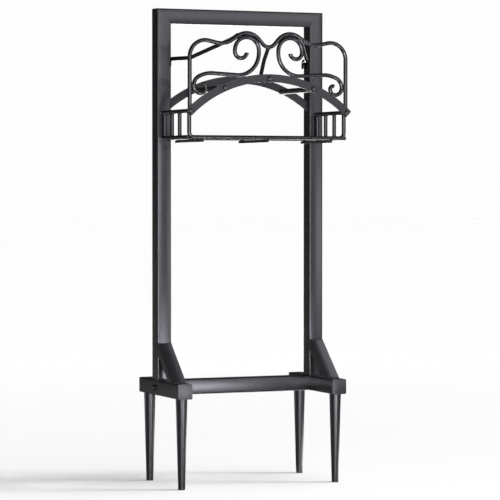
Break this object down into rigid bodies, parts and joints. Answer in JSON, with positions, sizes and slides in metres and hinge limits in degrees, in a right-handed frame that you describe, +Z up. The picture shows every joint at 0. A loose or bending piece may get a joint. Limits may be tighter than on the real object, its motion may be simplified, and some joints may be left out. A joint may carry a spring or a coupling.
{
  "type": "hose hanger",
  "caption": "Free-standing garden hose hanger: a square-tube frame on ground stakes with a scrolled rod head, an arched saddle for the hose and an open basket.",
  "frame": {"origin": "on the ground, in the middle of the overall box", "axes": "+Z up, +X to the right as seen from the front, +Y to the back; the hose head is on the -Y side"},
  "size_m": [0.436, 0.2908, 1.104],
  "materials": {
    "tube_coat": "satin black powder coat",
    "rod_coat": "satin black powder coat",
    "stake_coat": "satin black powder coat",
    "end_cap": "moulded black",
    "fastener": "black finished steel",
    "plated_insert": "zinc plated"
  },
  "bodies": {
    "root": {"basket_front_rod": "rod_coat", "basket_rear_rod": "rod_coat", "centre_floor_rod": "rod_coat", "centre_spacer": "rod_coat", "centre_strut": "rod_coat", "corner_bolts": "fastener", "cross_bar": "tube_coat", "cross_bar_inserts": "plated_insert", "front_arch": "rod_coat", "front_loop": "rod_coat", "left_bottom_rod": "rod_coat", "left_brace": "tube_coat", "left_floor_rod": "rod_coat", "left_foot_rail": "tube_coat", "left_front_cap": "end_cap", "left_front_stake": "stake_coat", "left_front_upright": "rod_coat", "left_middle_upright": "rod_coat", "left_post": "tube_coat", "left_rear_cap": "end_cap", "left_rear_stake": "stake_coat", "left_rear_upright": "rod_coat", "left_scroll": "rod_coat", "left_side_bolt": "fastener", "left_spacer": "rod_coat", "left_stay": "rod_coat", "left_top_rod": "rod_coat", "post_bolts": "fastener", "rear_arch": "rod_coat", "right_bottom_rod": "rod_coat", "right_brace": "tube_coat", "right_floor_rod": "rod_coat", "right_foot_rail": "tube_coat", "right_front_cap": "end_cap", "right_front_stake": "stake_coat", "right_front_upright": "rod_coat", "right_middle_upright": "rod_coat", "right_post": "tube_coat", "right_rear_cap": "end_cap", "right_rear_stake": "stake_coat", "right_rear_upright": "rod_coat", "right_scroll": "rod_coat", "right_side_bolt": "fastener", "right_spacer": "rod_coat", "right_stay": "rod_coat", "right_top_rod": "rod_coat", "saddle_front_bolts": "fastener", "saddle_rear_bolts": "fastener", "stake_nuts": "plated_insert", "top_bar": "tube_coat"}
  },
  "joints": []
}
